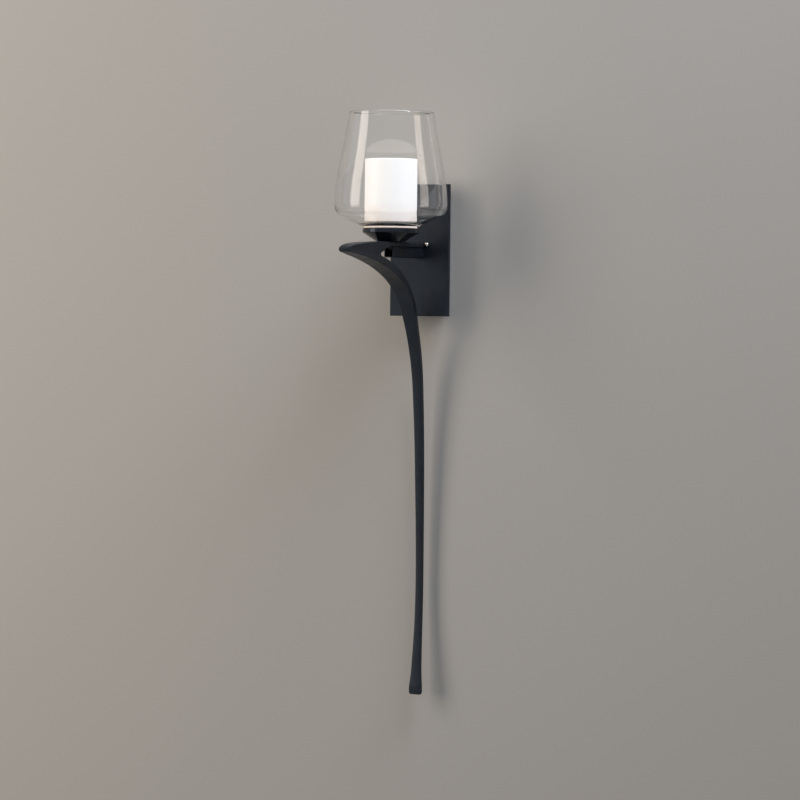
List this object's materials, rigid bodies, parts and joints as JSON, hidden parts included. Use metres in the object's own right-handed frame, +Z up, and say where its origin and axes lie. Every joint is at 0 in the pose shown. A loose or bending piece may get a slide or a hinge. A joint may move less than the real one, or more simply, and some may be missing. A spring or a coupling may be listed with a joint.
{
  "type": "torch wall sconce",
  "caption": "Black forged torch wall light with a rectangular back plate, a long tail, a white inner glass and a clear bell shade.",
  "frame": {"origin": "middle of the two slots of the wall bracket, on the wall", "axes": "+X right along the wall, +Y into the wall, +Z up; the lamp stands out at -Y"},
  "size_m": [0.1402, 0.2269, 0.7306],
  "materials": {
    "black_coat": "satin powder coat over forged steel",
    "zinc_steel": "zinc plated",
    "nickel": "polished nickel",
    "green_steel": "green dyed",
    "foam": "closed cell foam",
    "silicone": "translucent white silicone",
    "grey_gasket": "grey fibre rubber",
    "clear_glass": "clear blown glass",
    "opal_glass": "etched opal glass",
    "ceramic": "glazed white ceramic",
    "contact_brass": "plain",
    "bulb_glass": "clear",
    "filament_wire": "plain",
    "lead_black": "lead insulation",
    "lead_green": "lead insulation",
    "cap_plastic": "moulded",
    "bushing_plastic": "moulded"
  },
  "bodies": {
    "fixture": {"wall_bracket": "zinc_steel", "mounting_pan": "zinc_steel", "pan_seal": "foam", "ground_screw": "green_steel", "arm_flange": "zinc_steel", "flange_screws": "zinc_steel", "backplate": "black_coat", "cover_screws": "nickel", "forged_bar": "black_coat", "wire_channel": "black_coat", "wire_bushing": "bushing_plastic", "shade_cup": "black_coat", "glass_seat": "zinc_steel", "shade_collar": "zinc_steel", "lamp_nipple": "zinc_steel", "lock_washer": "zinc_steel", "nipple_nut": "zinc_steel", "lower_gasket": "silicone", "outer_glass": "clear_glass", "middle_gasket": "grey_gasket", "inner_glass": "opal_glass", "ring_washer": "grey_gasket", "holder_bracket": "zinc_steel", "lamp_holder": "ceramic", "holder_screws": "zinc_steel", "holder_contacts": "contact_brass", "live_lead": "lead_black", "neutral_lead": "lead_black", "ground_lead": "lead_green", "wire_caps": "cap_plastic"},
    "bulb": {"bulb_capsule": "bulb_glass", "bulb_pins": "nickel", "bulb_filament": "filament_wire"},
    "retaining_ring": {"shade_ring": "zinc_steel"}
  },
  "joints": [
    {"name": "bulb_pull", "type": "slide", "parent": "fixture", "child": "bulb", "axis": [0, 0, 1], "range_m": [0, 0.14]},
    {"name": "ring_turn", "type": "hinge", "parent": "fixture", "child": "retaining_ring", "pos_m": [0, -0.1035, 0.041], "axis": [0, 0, 1], "continuous": true}
  ]
}
